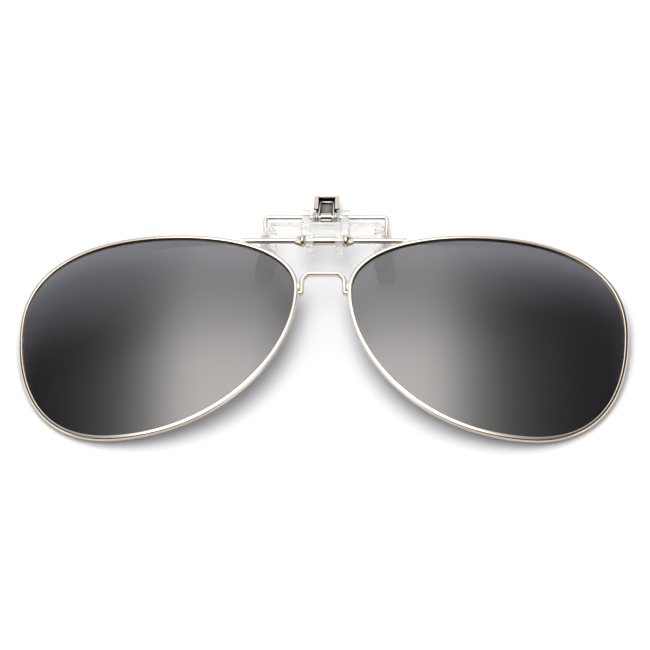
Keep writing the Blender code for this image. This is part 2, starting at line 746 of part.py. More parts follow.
def spring_half(side):
    """Half of the torsion spring: from its leg on the beam, through its coil, to the middle of its loop."""
    rest_y = WING_HIGH_Y + SPRING_WIRE_RADIUS + FIT_GAP
    path = [Vector((side * SPRING_OUTER_X, rest_y + up, z)) for up, z in SPRING_LEG]
    steps = SPRING_TURNS * SPRING_TURN_STEPS
    for step in range(steps + 1):
        angle = math.pi / 2.0 - 2.0 * math.pi * step / SPRING_TURN_STEPS
        x = SPRING_OUTER_X + (SPRING_INNER_X - SPRING_OUTER_X) * step / steps
        across = SPRING_COIL_RADIUS * math.cos(angle)
        depth = SPRING_COIL_RADIUS * math.sin(angle)
        path.append(Vector((side * x, GRIP_AXIS.y + across, GRIP_AXIS.z + depth)))
    lean = Matrix.Rotation(-TAB_LEAN, 3, "X")
    for x, y, z in SPRING_LOOP:
        path.append(lean @ Vector((side * x, y, z)) + GRIP_AXIS)
    return path


def make_spring():
    """The double torsion spring: a coil each side of the tab's curl, joined by a loop inside the tab."""
    path = spring_half(-1) + list(reversed(spring_half(1)[:-1]))
    spring = to_mesh(wire("torsion_spring", path, SPRING_WIRE_RADIUS, resolution=1))
    place(spring, SPRING_STEEL, GRIP_EMPTY)


RIM_CLEARANCE = as_cutter(sweep_rim("rim_clearance", gap=FIT_GAP))

make_rims()
make_lenses()
make_bridge()
make_rod()
make_tube_and_collars()
make_clip_base()
make_grip_wire()
make_paddles()
make_tab()
make_spring()
bpy.context.view_layer.update()
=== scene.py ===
"""The looks of the flip-up clip-on sunglasses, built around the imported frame.

Pieces are modelled in the clip frame, in millimetres. Its origin is on the hinge rod's axis, +X to the
right, +Y from the lenses up to the brow and +Z out of the lenses' fronts. CLIP carries it to the row frame.
"""
import json
import math

import bmesh
import bpy
from mathutils import Matrix, Vector


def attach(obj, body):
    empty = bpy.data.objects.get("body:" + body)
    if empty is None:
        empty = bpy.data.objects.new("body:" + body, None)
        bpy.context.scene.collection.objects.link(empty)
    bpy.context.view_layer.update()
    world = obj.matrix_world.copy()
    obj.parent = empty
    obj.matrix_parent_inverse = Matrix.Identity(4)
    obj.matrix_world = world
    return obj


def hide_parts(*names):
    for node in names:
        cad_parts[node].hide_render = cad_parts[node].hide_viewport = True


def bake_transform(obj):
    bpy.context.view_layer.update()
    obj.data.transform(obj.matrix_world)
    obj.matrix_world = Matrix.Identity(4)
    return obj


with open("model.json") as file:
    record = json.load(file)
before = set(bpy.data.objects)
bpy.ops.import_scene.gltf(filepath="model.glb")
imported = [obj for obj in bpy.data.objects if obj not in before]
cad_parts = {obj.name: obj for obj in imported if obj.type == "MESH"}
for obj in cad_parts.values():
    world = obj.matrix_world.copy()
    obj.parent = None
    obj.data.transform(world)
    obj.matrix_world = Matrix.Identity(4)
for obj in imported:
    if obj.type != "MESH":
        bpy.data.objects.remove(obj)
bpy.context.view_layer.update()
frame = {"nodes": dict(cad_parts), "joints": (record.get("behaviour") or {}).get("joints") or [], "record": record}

MM = 0.001
MERGE = 1e-5
CORNER_STEPS = 12
EDGE_STEPS = 4
WIRE_STEPS = 6
SHARP_ANGLE = 40.0

# The rims and lenses. A pair of HANDLES is how far an arc's two curve handles reach. LENS_SEATED is how much
# of its seat in the rim a lens fills, and the lens is level with the rod at ROD_SEAT_X.
LENS_SEAT = 0.5
LENS_THICKNESS = 0.75
LENS_RADIUS = 130.0
LENS_WRAP = math.radians(5.0)
LENS_RINGS = 16
HANDLES_TOP_INNER = (16.0, 10.0)
HANDLES_INNER_BOTTOM = (16.5, 24.0)
HANDLES_BOTTOM_OUTER = (15.2, 16.4)
HANDLES_OUTER_TOP = (16.6, 18.2)
ARC_STEPS = 48
RIM_WIDTH = 1.0
RIM_DEPTH = 1.64
RIM_GROOVE = 0.15
RIM_LIP = 0.2
RIDGE_START = -62.0
SLOT_CLEARANCE = 0.04
SLOT_CHAMFER = 0.03
SLOT_END_GAP = 0.05
LENS_SINK = 0.15
LENS_SEATED = 0.9
ROD_SEAT_X = 18.2

# The bridge wire
BRIDGE_RADIUS = 0.55
BRIDGE_DEPTH = 1.64
BRIDGE_TOP_Y = -8.9
BRIDGE_TOP_RISE = 0.17
BRIDGE_SHOULDER_X = 4.7
BRIDGE_LEG_X = 4.9
BRIDGE_END_Y = -13.8
BRIDGE_END_REACH = (0.6, -0.1)
BRIDGE_Z = 0.1
BRIDGE_BENDS = (2.1, 0.45)

# The hinge rod and what is threaded on it. A collar's shoulder is given by steps out from its radius and
# along from its face.
ROD_RADIUS = 0.64
ROD_CORE = 0.02
ROD_EDGE = 0.12
ROD_HALF_LENGTH = 18.75
EAR_INNER_X = 2.45
EAR_WIDTH = 1.74
EAR_GAP = 0.05
BORE_GAP = 0.03
TUBE_RADIUS = 1.05
TUBE_EDGE = 0.1
COLLAR_RADIUS = 1.46
COLLAR_TIP_RADIUS = 0.82
COLLAR_TIP_EDGE = 0.06
COLLAR_LENGTH = 2.4
COLLAR_SHOULDER = ((-0.03, 0.95), (0.0, 0.85), (0.0, 0.7), (-0.06, 0.3), (-0.18, 0.1), (-0.35, 0.0))
TURNED_SEGMENTS = 64

# The grip wire, its tab and its spring. An arm's knee and ankle are so far in, down and back from the
# wire's corner. The spring's leg is given by height over its rest and depth, its loop from the grip's axis.
GRIP_AXIS = Vector((0.0, 10.4, -7.2))
GRIP_RADIUS = 0.55
GRIP_HALF_WIDTH = 14.1
GRIP_BENDS = (0.85, 1.6, 1.6)
ARM_KNEE = Vector((0.05, 2.0, 0.2))
ARM_ANKLE = Vector((0.15, 3.4))
ARM_SPLAY = 0.05
ARM_Z = -7.9
ARM_LOW_Y = -3.8
TAB_LEAN = math.radians(18.0)
WING_HIGH_Y = 6.7
SPRING_WIRE_RADIUS = 0.2
SPRING_COIL_RADIUS = 0.97
SPRING_OUTER_X = 2.95
SPRING_INNER_X = 1.75
SPRING_LEG = ((0.0, -4.3), (0.25, -5.3))
SPRING_LOOP = ((1.6, 2.1, 0.5), (1.6, 5.2, -0.3), (1.15, 5.65, -0.3), (0.0, 5.65, -0.3))
SPRING_TURNS = 3
SPRING_TURN_STEPS = 20
SPRING_WIRE_STEPS = 3
SPRING_REST_GAP = 0.05

# The moulded and stamped pieces: each one's voxel and how many times its surface is relaxed
BRACKET_MESH = (0.09, 6)
PADDLE_MESH = (0.1, 8)
TAB_MESH = (0.05, 4)
RELAXING = 0.5
MOULDED_SHARP_ANGLE = 60.0

# The metals: each one's two tones, its lowest and highest roughness, and how strong its ripple is
RIM_TONES = ((0.68, 0.60, 0.51), (0.62, 0.54, 0.45))
RIM_ROUGHNESS = (0.06, 0.13)
RIM_RIPPLE = 0.08
CHROME_TONES = ((0.60, 0.53, 0.45), (0.54, 0.47, 0.39))
ROD_ROUGHNESS = (0.04, 0.09)
ROD_RIPPLE = 0.06
TAB_ROUGHNESS = (0.04, 0.12)
TAB_RIPPLE = 0.08
SOLDER_TONES = ((0.70, 0.63, 0.54), (0.60, 0.53, 0.44))
SOLDER_ROUGHNESS = (0.22, 0.40)
SOLDER_RIPPLE = 0.6
SPRING_TONES = ((0.60, 0.57, 0.53), (0.50, 0.47, 0.43))
SPRING_ROUGHNESS = (0.16, 0.30)
SPRING_RIPPLE = 0.15
DRAWN_ALONG_X = (0.05, 1.0, 1.0)
TONE_SCALE = 140.0
GRAIN_SCALE = 2600.0
GRAIN_DEPTH = 0.02
# Painted shade in the tab's recess: its dark tone, how far in millimetres the occlusion looks, and how steeply it
# darkens
PAINTED_SHADE_TONE = (0.03, 0.022, 0.015)
PAINTED_SHADE_REACH = 5.0
PAINTED_SHADE_STRENGTH = 4.5

# The lens tint and the clear plastics
TINT_TONES = ((0.130, 0.128, 0.139), (0.140, 0.138, 0.149))
TINT_IOR = 1.66
TINT_GLOSS = (1.0, 0.965, 0.93)
TINT_HAZE_SCALE = 60.0
CLEAR_TONE = (0.985, 0.972, 0.945)
CLEAR_ROUGHNESS = 0.08
CLEAR_FLOW_SCALE = 300.0
CLEAR_CLEARNESS = 0.82
SOFT_TONE = (0.72, 0.72, 0.70)
SOFT_ROUGHNESS = 0.35
SOFT_FLOW_SCALE = 500.0
SOFT_CLEARNESS = 0.5
PLASTIC_IOR = 1.2
FLOW_STRETCH = (1.0, 2.5, 1.0)
FLOW_SHADE = 0.985
FLOW_POLISH = (0.7, 1.3)
FLOW_DEPTH = 0.05
FLOW_RIPPLE = 0.03

# The camera: its angles below the lenses' normal and to the right of it, its roll, its distance, its lens
# and sensor, how near and far it sees in metres, and the point it looks at, right of and above the rod's
# middle as it sees them
CAMERA_BELOW = math.radians(30.0)
CAMERA_RIGHT = math.radians(2.66)
CAMERA_ROLL = math.radians(1.39)
CAMERA_DISTANCE = 822.0
CAMERA_LENS = 200.0
CAMERA_SENSOR = 36.0
CAMERA_CLIP = (0.05, 50.0)
CAMERA_AIM = Vector((0.18, -19.15))

# The lamp overhead, in metres: its height, its extent and where its glow halves, across and lengthwise.
# An area lamp gives its watts over four times its area as radiance.
LAMP_HEIGHT = 0.30
LAMP_WIDTH = 0.60
LAMP_FRONT = -0.235
LAMP_REAR = 0.29
LAMP_CENTRE_X = -0.0265
LAMP_HALF_GLOW = (0.085, 0.150)
LAMP_STEEPNESS = (3.5, 2.8)
LAMP_COLOR = (1.0, 0.995, 0.99)
LAMP_RADIANCE = 4.9
WATTS_PER_RADIANCE = 4.0

# The rest of the studio, as radiance by direction: where along its axis each light starts and is full
BANK_LIGHT = (0.86, 0.91, 1.02)
BANK_AXIS = (-0.15, 0.99, 0.0)
BANK_EDGE = (0.38, 0.66)
BACK_LIGHT = (0.4, 0.4, 0.38)
BACK_EDGE = (0.70, 0.84)
SIDE_LIGHT = (1.38, 1.42, 1.46)
SIDE_EDGE = (0.62, 0.76)
FILL_LIGHT = (0.36, 0.38, 0.40)
FILL_EDGE = (0.44, 0.60)
FRONT_LIGHT = (0.040, 0.020, 0.006)
FRONT_EDGE = (-0.30, -0.45)
AMBIENT_LIGHT = (0.010, 0.010, 0.011)

# The table top, its size in metres
FLOOR_SIZE = 8.0
FLOOR_TONE = (0.84, 0.84, 0.85)
FLOOR_ROUGHNESS = 0.6
FLOOR_GLOSS = 0.2


def clip_matrix():
    """From clip-frame millimetres to the row frame, by the flip joint's place and a paddle back's tilt."""
    hinge = [joint for joint in frame["joints"] if joint["name"] == "lens_flip"][0]
    paddle = [mount for mount in frame["record"]["mounts"] if mount["name"] == "left_paddle_back"][0]
    tilt = math.atan2(paddle["axis"][1], -paddle["axis"][2])
    return Matrix.Translation(hinge["pos_m"]) @ Matrix.Rotation(tilt, 4, "X") @ Matrix.Scale(MM, 4)


CLIP = clip_matrix()


# ---------------------------------------------------------------- mesh helpers


def new_object(name, data):
    """Link a new object to the scene."""
    obj = bpy.data.objects.new(name, data)
    bpy.context.scene.collection.objects.link(obj)
    return obj


def mesh_object(name, work):
    """An object from a finished bmesh, with its faces pointing outward."""
    bmesh.ops.recalc_face_normals(work, faces=work.faces)
    data = bpy.data.meshes.new(name)
    work.to_mesh(data)
    work.free()
    return new_object(name, data)


def loft(name, rings):
    """A closed surface through rings of equally many points, the last ring joined to the first."""
    work = bmesh.new()
    made = [[work.verts.new(spot) for spot in ring] for ring in rings]
    for ring, following in zip(made, made[1:] + made[:1]):
        for i in range(len(ring)):
            after = (i + 1) % len(ring)
            work.faces.new((ring[i], ring[after], following[after], following[i]))
    return mesh_object(name, work)


def applied(obj):
    """Apply an object's modifiers, or turn a curve into a mesh, and weld what touches."""
    bpy.context.view_layer.update()
    evaluated = obj.evaluated_get(bpy.context.evaluated_depsgraph_get())
    data = bpy.data.meshes.new_from_object(evaluated)
    work = bmesh.new()
    work.from_mesh(data)
    bmesh.ops.remove_doubles(work, verts=work.verts, dist=MERGE)
    bmesh.ops.recalc_face_normals(work, faces=work.faces)
    work.to_mesh(data)
    work.free()
    name = obj.name
    bpy.data.objects.remove(obj)
    return new_object(name, data)


def mirrored(obj, name):
    """A left-hand copy of a right-hand piece, mirrored across x = 0."""
    data = obj.data.copy()
    data.transform(Matrix.Scale(-1.0, 4, (1.0, 0.0, 0.0)))
    data.flip_normals()
    return new_object(name, data)


def finish_piece(obj, material, body, node, sharp=SHARP_ANGLE):
    """Carry a piece to the row frame, shade it, give it its material and body, and hide the CAD node it replaces.
    """
    obj.data.transform(CLIP)
    obj.data.materials.clear()
    obj.data.materials.append(material)
    obj.data.shade_smooth()
    obj.data.set_sharp_from_angle(angle=math.radians(sharp))
    if body:
        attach(obj, body)
    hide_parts(node)


def fillet(points, radii):
    """Round each inner corner of a path of Vectors with an arc of its own radius."""
    rounded = [points[0].copy()]
    for i in range(1, len(points) - 1):
        corner = points[i]
        back = (points[i - 1] - corner).normalized()
        ahead = (points[i + 1] - corner).normalized()
        half_angle = back.angle(ahead) / 2.0
        reach = radii[i] / math.tan(half_angle)
        middle = corner + (back + ahead).normalized() * (radii[i] / math.sin(half_angle))
        first = (corner + back * reach - middle).normalized()
        last = (corner + ahead * reach - middle).normalized()
        for step in range(CORNER_STEPS + 1):
            rounded.append(middle + first.slerp(last, step / CORNER_STEPS) * radii[i])
    rounded.append(points[-1].copy())
    return rounded


def wire(name, path, radius, steps=WIRE_STEPS):
    """A round wire along a path, with closed ends."""
    curve = bpy.data.curves.new(name, "CURVE")
    curve.dimensions = "3D"
    curve.bevel_depth = radius
    curve.bevel_resolution = steps
    curve.use_fill_caps = True
    spline = curve.splines.new("POLY")
    spline.points.add(len(path) - 1)
    for point, spot in zip(spline.points, path):
        point.co = (*spot, 1.0)
    return applied(new_object(name, curve))


def turned(name, profile):
    """A ring turned about the X axis from a closed loop of (radius, x) points."""
    rings = []
    for step in range(TURNED_SEGMENTS):
        angle = 2.0 * math.pi * step / TURNED_SEGMENTS
        up, out = math.cos(angle), math.sin(angle)
        rings.append([Vector((x, radius * up, radius * out)) for radius, x in profile])
    return loft(name, rings)


# ---------------------------------------------------------------- materials


def add_node(tree, kind, **values):
    """A node of a kind, its inputs set by name, or by number as i0 and i1; a socket given is linked."""
    node = tree.nodes.new(kind)
    for name, value in values.items():
        socket = node.inputs[int(name[1:])] if name[0] == "i" and name[1:].isdigit() else node.inputs[name]
        if isinstance(value, bpy.types.NodeSocket):
            tree.links.new(value, socket)
        else:
            socket.default_value = value
    return node


def shader_of(name):
    """A new material with its tree and its Principled node."""
    material = bpy.data.materials.new(name)
    material.use_nodes = True
    return material, material.node_tree, material.node_tree.nodes["Principled BSDF"]


def noise(tree, scale, detail=3.0, stretch=(1.0, 1.0, 1.0)):
    """Noise in object space, stretched along an axis."""
    place = tree.nodes.new("ShaderNodeTexCoord").outputs["Object"]
    mapping = add_node(tree, "ShaderNodeMapping", Vector=place)
    mapping.inputs["Scale"].default_value = stretch
    found = add_node(tree, "ShaderNodeTexNoise", Vector=mapping.outputs[0], Scale=scale, Detail=detail)
    return found.outputs["Fac"]


def ramped(tree, value, low, high):
    """A 0-1 value mapped to a range."""
    node = add_node(tree, "ShaderNodeMapRange", Value=value)
    node.inputs["To Min"].default_value = low
    node.inputs["To Max"].default_value = high
    return node.outputs[0]


def mixed(tree, share, first, second):
    """A blend of two colours, each a tuple or a socket. Only its number tells a Mix node's colour socket."""
    node = tree.nodes.new("ShaderNodeMix")
    node.data_type = "RGBA"
    tree.links.new(share, node.inputs[0])
    for socket, color in ((node.inputs[6], first), (node.inputs[7], second)):
        if isinstance(color, tuple):
            socket.default_value = (*color, 1.0)
        else:
            tree.links.new(color, socket)
    return node.outputs[2]


def math_node(tree, operation, first, second=0.0):
    """One arithmetic step on values."""
    node = add_node(tree, "ShaderNodeMath", i0=first, i1=second)
    node.operation = operation
    return node.outputs[0]


def add_ripple(tree, shader, height, strength, depth):
    """A faint ripple on the surface, its depth in millimetres."""
    ripple = add_node(tree, "ShaderNodeBump", Height=height, Strength=strength, Distance=depth * MM)
    tree.links.new(ripple.outputs[0], shader.inputs["Normal"])


def metal(name, tones, roughness, ripple, stretch=(1.0, 1.0, 1.0)):
    """Polished metal: two close tones, drawn or buffed roughness, and a faint surface ripple."""
    material, tree, shader = shader_of(name)
    broad = noise(tree, TONE_SCALE)
    fine = noise(tree, GRAIN_SCALE, detail=4.0, stretch=stretch)
    tree.links.new(mixed(tree, broad, *tones), shader.inputs["Base Color"])
    tree.links.new(ramped(tree, fine, *roughness), shader.inputs["Roughness"])
    shader.inputs["Metallic"].default_value = 1.0
    add_ripple(tree, shader, fine, ripple, GRAIN_DEPTH)
    return material


def metal_with_painted_recess_shade():
    """The tab's plating, with painted shade: its recess is darkened where ambient occlusion finds it."""
    material = metal("tab_metal_painted_shade", CHROME_TONES, TAB_ROUGHNESS, TAB_RIPPLE)
    tree = material.node_tree
    shader = tree.nodes["Principled BSDF"]
    # Painted shade: the base colour turns to the dark tone where ambient occlusion finds the recess
    occlusion = add_node(tree, "ShaderNodeAmbientOcclusion", Distance=PAINTED_SHADE_REACH * MM)
    unshaded_share = math_node(tree, "POWER", occlusion.outputs["AO"], PAINTED_SHADE_STRENGTH)
    plated = shader.inputs["Base Color"].links[0].from_socket
    tree.links.new(mixed(tree, unshaded_share, PAINTED_SHADE_TONE, plated), shader.inputs["Base Color"])
    return material


def tinted_lens():
    """Grey polarised sheet with a warm-toned mirror gloss."""
    material, tree, shader = shader_of("tinted_lens")
    haze = noise(tree, TINT_HAZE_SCALE, detail=2.0)
    tree.links.new(mixed(tree, haze, *TINT_TONES), shader.inputs["Base Color"])
    shader.inputs["Transmission Weight"].default_value = 1.0
    shader.inputs["Roughness"].default_value = 0.0
    shader.inputs["IOR"].default_value = TINT_IOR
    shader.inputs["Specular Tint"].default_value = (*TINT_GLOSS, 1.0)
    return material


def clear_plastic(name, tone, roughness, flow_scale, clearness):
    """Moulded clear plastic with faint flow marks; less clearness makes it milky."""
    material, tree, shader = shader_of(name)
    flow = noise(tree, flow_scale, detail=2.0, stretch=FLOW_STRETCH)
    shaded = tuple(part * FLOW_SHADE for part in tone)
    tree.links.new(mixed(tree, flow, tone, shaded), shader.inputs["Base Color"])
    low, high = FLOW_POLISH
    polish = ramped(tree, flow, roughness * low, roughness * high)
    tree.links.new(polish, shader.inputs["Roughness"])
    shader.inputs["Transmission Weight"].default_value = clearness
    shader.inputs["IOR"].default_value = PLASTIC_IOR
    add_ripple(tree, shader, flow, FLOW_RIPPLE, FLOW_DEPTH)
    return material


RIM_METAL = metal("rim_metal", RIM_TONES, RIM_ROUGHNESS, RIM_RIPPLE)
CHROME = metal("chrome", CHROME_TONES, ROD_ROUGHNESS, ROD_RIPPLE, DRAWN_ALONG_X)
TAB_METAL = metal_with_painted_recess_shade()
SOLDER = metal("solder", SOLDER_TONES, SOLDER_ROUGHNESS, SOLDER_RIPPLE)
SPRING_STEEL = metal("spring_steel", SPRING_TONES, SPRING_ROUGHNESS, SPRING_RIPPLE)
TINT = tinted_lens()
CLEAR = clear_plastic("clear_plastic", CLEAR_TONE, CLEAR_ROUGHNESS, CLEAR_FLOW_SCALE, CLEAR_CLEARNESS)
SOFT_CLEAR = clear_plastic("soft_clear_plastic", SOFT_TONE, SOFT_ROUGHNESS, SOFT_FLOW_SCALE, SOFT_CLEARNESS)


# ---------------------------------------------------------------- rims and lenses


def lens_extremes():
    """The right-hand lens opening's outermost points, from the CAD lens: top, inner, bottom and outer."""
    inverse = CLIP.inverted()
    spots = [inverse @ vertex.co for vertex in frame["nodes"]["lens_right"].data.vertices]
    top = max(spots, key=lambda spot: spot.y)
    inner = min(spots, key=lambda spot: spot.x)
    bottom = min(spots, key=lambda spot: spot.y)
    outer = max(spots, key=lambda spot: spot.x)
    return (
        Vector((top.x, top.y - LENS_SEAT)),
        Vector((inner.x + LENS_SEAT, inner.y)),
        Vector((bottom.x, bottom.y + LENS_SEAT)),
        Vector((outer.x - LENS_SEAT, outer.y)),
    )


TOP, INNER, BOTTOM, OUTER = lens_extremes()
LENS_CENTRE = Vector(((INNER.x + OUTER.x) / 2.0, (TOP.y + BOTTOM.y) / 2.0))


def bezier_arc(start, start_handle, end_handle, end):
    """Points and unit outward normals along one arc of the opening, which runs anticlockwise."""
    found = []
    for step in range(ARC_STEPS):
        t = step / ARC_STEPS
        u = 1.0 - t
        spot = u**3 * start + 3 * u * u * t * start_handle + 3 * u * t * t * end_handle + t**3 * end
        along = u * u * (start_handle - start) + 2 * u * t * (end_handle - start_handle)
        along += t * t * (end - end_handle)
        found.append((spot, Vector((along.y, -along.x)).normalized()))
    return found


def opening_edge():
    """The right-hand lens opening as a closed ring of 2D points with their outward normals."""
    right = Vector((1.0, 0.0))
    up = Vector((0.0, 1.0))
    arcs = (
        (TOP, -right, INNER, up, HANDLES_TOP_INNER),
        (INNER, -up, BOTTOM, -right, HANDLES_INNER_BOTTOM),
        (BOTTOM, right, OUTER, -up, HANDLES_BOTTOM_OUTER),
        (OUTER, up, TOP, right, HANDLES_OUTER_TOP),
    )
    ring = []
    for start, out, end, back, (first, last) in arcs:
        ring += bezier_arc(start, start + out * first, end + back * last, end)
    return ring


EDGE = opening_edge()


def lens_drop(spot):
    """How far the lens falls back at a 2D point, by its own curve and by the wrap."""
    return (spot - LENS_CENTRE).length_squared / (2.0 * LENS_RADIUS) + math.tan(LENS_WRAP) * spot.x


def on_lens(spot, lift=0.0):
    """A 2D point lifted on to the lens's middle surface, then so far along that surface's normal."""
    seat = Vector((ROD_SEAT_X, -RIM_WIDTH))
    fall = (spot - LENS_CENTRE) / LENS_RADIUS + Vector((math.tan(LENS_WRAP), 0.0))
    normal = Vector((fall.x, fall.y, 1.0)).normalized()
    return Vector((spot.x, spot.y, lens_drop(seat) - lens_drop(spot))) + normal * lift


def across_edge(spot, normal, out, depth):
    """A point of a section drawn at the opening's edge: so far outward, and so far forward of the lens."""
    fall = (spot - LENS_CENTRE).dot(normal) / LENS_RADIUS + math.tan(LENS_WRAP) * normal.x
    slope = math.atan(fall)
    outward = Vector((normal.x * math.cos(slope), normal.y * math.cos(slope), -math.sin(slope)))
    forward = Vector((normal.x * math.sin(slope), normal.y * math.sin(slope), math.cos(slope)))
    return on_lens(spot) + outward * out + forward * depth


def arc(centre, radius, start, end, steps):
    """Points of a circular arc between two angles in degrees."""
    found = []
    for step in range(steps + 1):
        angle = math.radians(start + (end - start) * step / steps)
        found.append((centre[0] + radius * math.cos(angle), centre[1] + radius * math.sin(angle)))
    return found


def rim_section():
    """The rim wire's section: two rounded ridges outside with a groove between, a lens slot inside."""
    half = RIM_DEPTH / 2.0
    ridge = half / 2.0
    slot = LENS_THICKNESS / 2.0 + SLOT_CLEARANCE
    upper = [(RIM_WIDTH - RIM_GROOVE, 0.0)]
    upper += arc((RIM_WIDTH - ridge, half - ridge), ridge, RIDGE_START, 90.0, CORNER_STEPS)
    upper += arc((RIM_LIP, half - RIM_LIP), RIM_LIP, 90.0, 180.0, EDGE_STEPS)
    lower = [(out, -depth) for out, depth in reversed(upper[1:])]
    mouth = [(0.0, slot + SLOT_CHAMFER), (SLOT_CHAMFER, slot), (LENS_SEAT + SLOT_END_GAP, slot)]
    groove = mouth + [(out, -depth) for out, depth in reversed(mouth)]
    return upper + [(out, depth - LENS_SINK) for out, depth in groove] + lower


def make_rims():
    """The right rim and its mirror image."""
    section = rim_section()
    rings = [[across_edge(spot, normal, out, depth) for out, depth in section] for spot, normal in EDGE]
    rim = loft("rim_wire_right", rings)
    left = mirrored(rim, "rim_wire_left")
    finish_piece(rim, RIM_METAL, "lens_frame", "rim_right")
    finish_piece(left, RIM_METAL, "lens_frame", "rim_left")


def make_lenses():
    """Each lens: a thin curved sheet, its edge seated in the rim."""
    half = LENS_THICKNESS / 2.0
    count = len(EDGE)
    rings = [[], []]
    work = bmesh.new()
    for side, lift in enumerate((half - LENS_SINK, -half - LENS_SINK)):
        middle = work.verts.new(on_lens(LENS_CENTRE, lift))
        for step in range(1, LENS_RINGS + 1):
            share = step / LENS_RINGS
            ring = []
            for spot, normal in EDGE:
                place = LENS_CENTRE.lerp(spot + normal * LENS_SEAT * LENS_SEATED, share)
                ring.append(work.verts.new(on_lens(place, lift)))
            rings[side].append(ring)
        for i in range(count):
            after = (i + 1) % count
            work.faces.new((middle, rings[side][0][i], rings[side][0][after]))
            for inner, outer in zip(rings[side], rings[side][1:]):
                work.faces.new((inner[i], outer[i], outer[after], inner[after]))
    front, back = rings[0][-1], rings[1][-1]
    for i in range(count):
        after = (i + 1) % count
        work.faces.new((front[i], back[i], back[after], front[after]))
    lens = mesh_object("lens_sheet_right", work)
    left = mirrored(lens, "lens_sheet_left")
    finish_piece(lens, TINT, "lens_frame", "lens_right")
    finish_piece(left, TINT, "lens_frame", "lens_left")


# ---------------------------------------------------------------- bridge, rod and collars


def make_bridge():
    """The inverted-U bridge wire, as deep as the rims, with its feet brazed to them."""
    out, down = BRIDGE_END_REACH
    half = [
        Vector((BRIDGE_SHOULDER_X, BRIDGE_TOP_Y, BRIDGE_Z + BRIDGE_TOP_RISE)),
        Vector((BRIDGE_LEG_X, BRIDGE_END_Y, BRIDGE_Z)),
        Vector((BRIDGE_LEG_X + out, BRIDGE_END_Y + down, BRIDGE_Z)),
    ]
    path = [Vector((-spot.x, spot.y, spot.z)) for spot in reversed(half)] + half
    top, end = BRIDGE_BENDS
    bridge = wire("bridge_loop", fillet(path, [0.0, end, top, top, end, 0.0]), BRIDGE_RADIUS)
    middle = Matrix.Translation((0.0, 0.0, BRIDGE_Z))
    deepen = Matrix.Diagonal((1.0, 1.0, BRIDGE_DEPTH / (2.0 * BRIDGE_RADIUS), 1.0))
    bridge.data.transform(middle @ deepen @ middle.inverted())
    finish_piece(bridge, RIM_METAL, "lens_frame", "bridge_wire")


def drawn(name, bore, radius, half_length, edge):
    """A round bar or tube along X, centred on x = 0, its ends rounded over."""
    right = [(bore, half_length)] + arc((radius - edge, half_length - edge), edge, 90.0, 0.0, EDGE_STEPS)
    left = [(out, -x) for out, x in reversed(right)]
    return turned(name, right + left)


def make_rod():
    """The hinge rod; its core is a pinhole, because a turned ring can't close on its axis."""
    rod = drawn("hinge_rod_drawn", ROD_CORE, ROD_RADIUS, ROD_HALF_LENGTH, ROD_EDGE)
    finish_piece(rod, CHROME, "lens_frame", "hinge_rod")


def make_spacer_tube():
    """The tube on the rod between the ears."""
    tube = drawn("spacer_tube_drawn", ROD_RADIUS + BORE_GAP, TUBE_RADIUS, EAR_INNER_X - EAR_GAP, TUBE_EDGE)
    finish_piece(tube, CHROME, "lens_frame", "spacer_tube")


def make_collars():
    """A turned collar outside each ear, tapering away from it."""
    bore = ROD_RADIUS + BORE_GAP
    face = EAR_INNER_X + EAR_WIDTH + EAR_GAP
    tip = face + COLLAR_LENGTH
    profile = [(bore, tip), (COLLAR_TIP_RADIUS, tip)]
    profile.append((COLLAR_TIP_RADIUS + COLLAR_TIP_EDGE, tip - COLLAR_TIP_EDGE))
    profile += [(COLLAR_RADIUS + out, face + step) for out, step in COLLAR_SHOULDER]
    profile.append((bore, face))
    collar = turned("cone_collar_turned_right", profile)
    left = mirrored(collar, "cone_collar_turned_left")
    finish_piece(collar, CHROME, "lens_frame", "cone_collar_right")
    finish_piece(left, CHROME, "lens_frame", "cone_collar_left")


# ---------------------------------------------------------------- moulded and stamped pieces


def remoulded(name, node, voxel, passes, turn=Matrix.Identity(4)):
    """A CAD node's shape made again with soft edges: voxels in the piece's own frame, then relaxed."""
    data = frame["nodes"][node].data.copy()
    data.transform(turn.inverted() @ CLIP.inverted())
    obj = new_object(name, data)
    remesh = obj.modifiers.new("voxels", "REMESH")
    remesh.mode = "VOXEL"
    remesh.voxel_size = voxel
    relaxing = obj.modifiers.new("relax", "SMOOTH")
    relaxing.factor = RELAXING
    relaxing.iterations = passes
    made = applied(obj)
    made.data.transform(turn)
    return made


def make_clip_base():
    """The clear moulded bracket."""
    base = remoulded("clear_bracket", "clip_base", *BRACKET_MESH)
    finish_piece(base, CLEAR, "clip_base", "clip_base", sharp=MOULDED_SHARP_ANGLE)


def make_paddles():
    """The soft clear paddles on the grip wire's arms."""
    for side in ("right", "left"):
        node = "paddle_" + side
        paddle = remoulded("grip_" + node, node, *PADDLE_MESH)
        finish_piece(paddle, SOFT_CLEAR, "grip_lever", node, sharp=MOULDED_SHARP_ANGLE)


def make_tab():
    """The stamped tab with its curl."""
    turn = Matrix.Translation(GRIP_AXIS) @ Matrix.Rotation(-TAB_LEAN, 4, "X")
    tab = remoulded("stamped_tab", "squeeze_tab", *TAB_MESH, turn)
    finish_piece(tab, TAB_METAL, "grip_lever", "squeeze_tab", sharp=MOULDED_SHARP_ANGLE)


def grip_arm(side):
    """One arm of the grip wire: from the U's corner, down and back to the paddle's level, to its end."""
    spots = (
        (GRIP_HALF_WIDTH, GRIP_AXIS.y, GRIP_AXIS.z),
        (GRIP_HALF_WIDTH - ARM_KNEE.x, GRIP_AXIS.y - ARM_KNEE.y, GRIP_AXIS.z - ARM_KNEE.z),
        (GRIP_HALF_WIDTH - ARM_ANKLE.x, GRIP_AXIS.y - ARM_ANKLE.y, ARM_Z),
        (GRIP_HALF_WIDTH + ARM_SPLAY, ARM_LOW_Y, ARM_Z),
    )
    return [Vector((side * x, y, z)) for x, y, z in spots]


